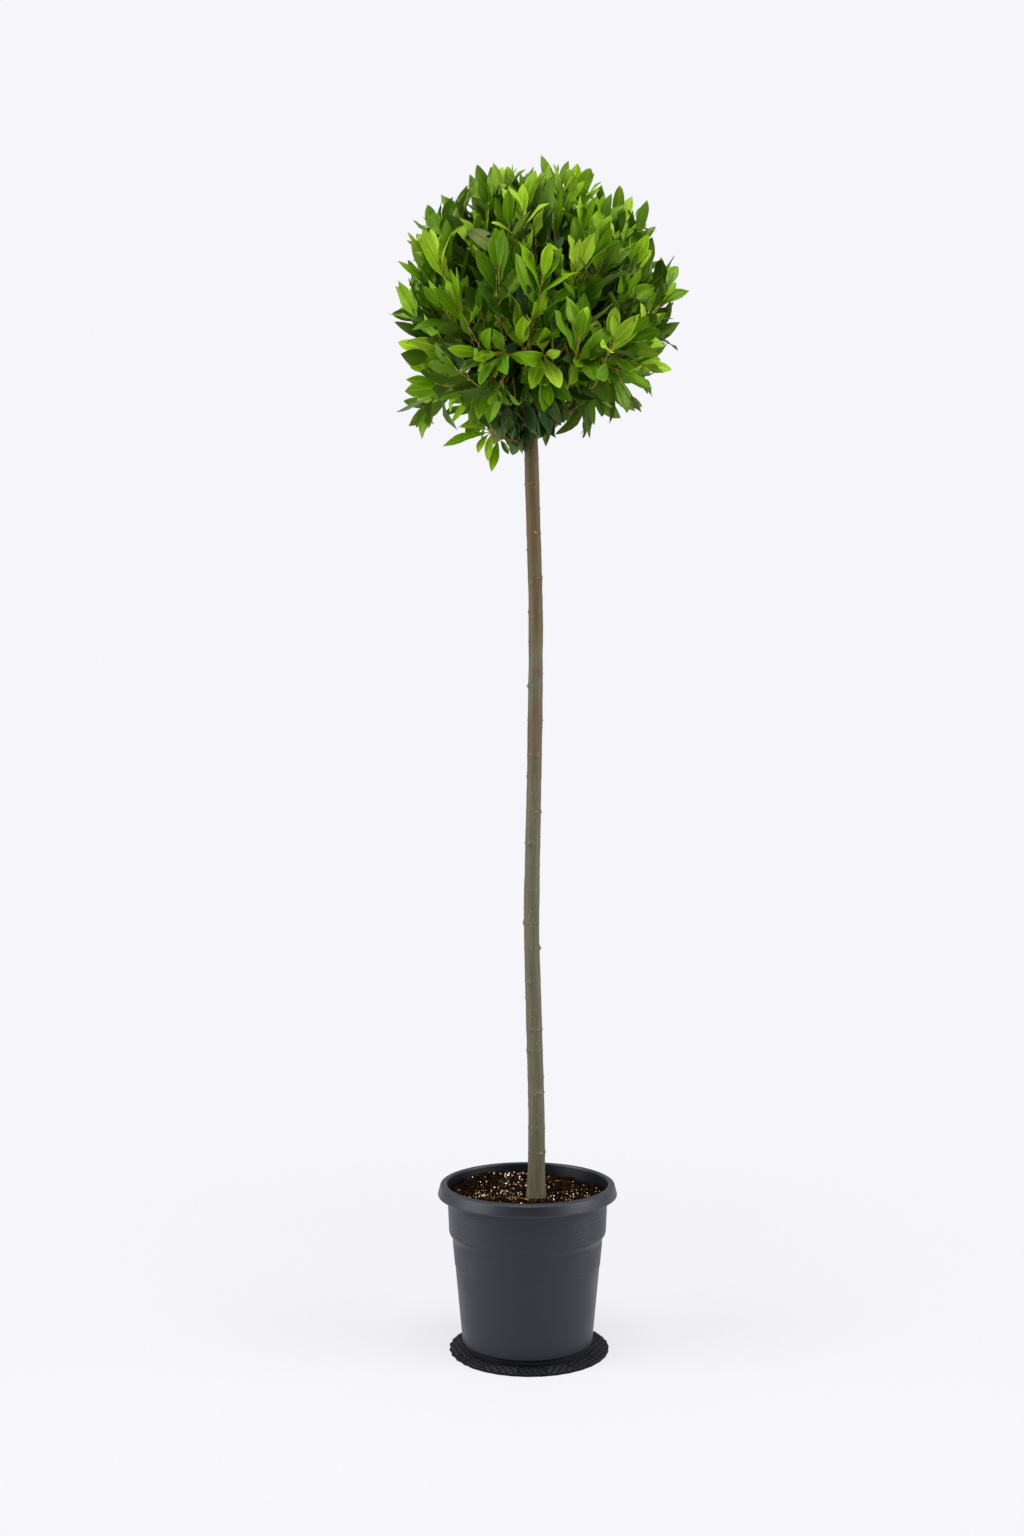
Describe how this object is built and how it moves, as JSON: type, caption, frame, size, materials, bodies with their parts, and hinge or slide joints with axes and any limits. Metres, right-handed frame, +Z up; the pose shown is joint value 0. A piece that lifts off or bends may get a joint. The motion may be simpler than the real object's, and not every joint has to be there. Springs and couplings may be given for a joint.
{
  "type": "standard bay topiary in pot",
  "caption": "Standard bay topiary: a clipped ball of leaves on one clear stem, growing in a tapered plastic nursery pot on a thin round mat.",
  "frame": {"origin": "on the pot's axis, in the flat underside of the mat that the pot stands on", "axes": "+Z up along the stem; -Y is the front, the side with the hanging spray, and +X is to the right seen from the front"},
  "size_m": [0.289, 0.284, 1.151],
  "materials": {
    "mat_rubber": "matt black, fine woven relief",
    "pot_plastic": "satin moulded plastic, slate grey",
    "compost": "loose, dark, moist, with white perlite grains",
    "stem_bark": "smooth grey-green young bark",
    "bough_bark": "smooth brown young bark",
    "foliage": "leathery, slightly glossy leaves"
  },
  "bodies": {
    "root": {"mat": "mat_rubber", "pot": "pot_plastic", "compost": "compost", "stem": "stem_bark", "leader": "bough_bark", "bough_1": "bough_bark", "bough_2": "bough_bark", "bough_3": "bough_bark", "bough_4": "bough_bark", "bough_5": "bough_bark", "bough_6": "bough_bark", "bough_7": "bough_bark", "spray_bough": "bough_bark", "crown": "foliage", "skirt": "foliage", "hanging_spray": "foliage"}
  },
  "joints": []
}
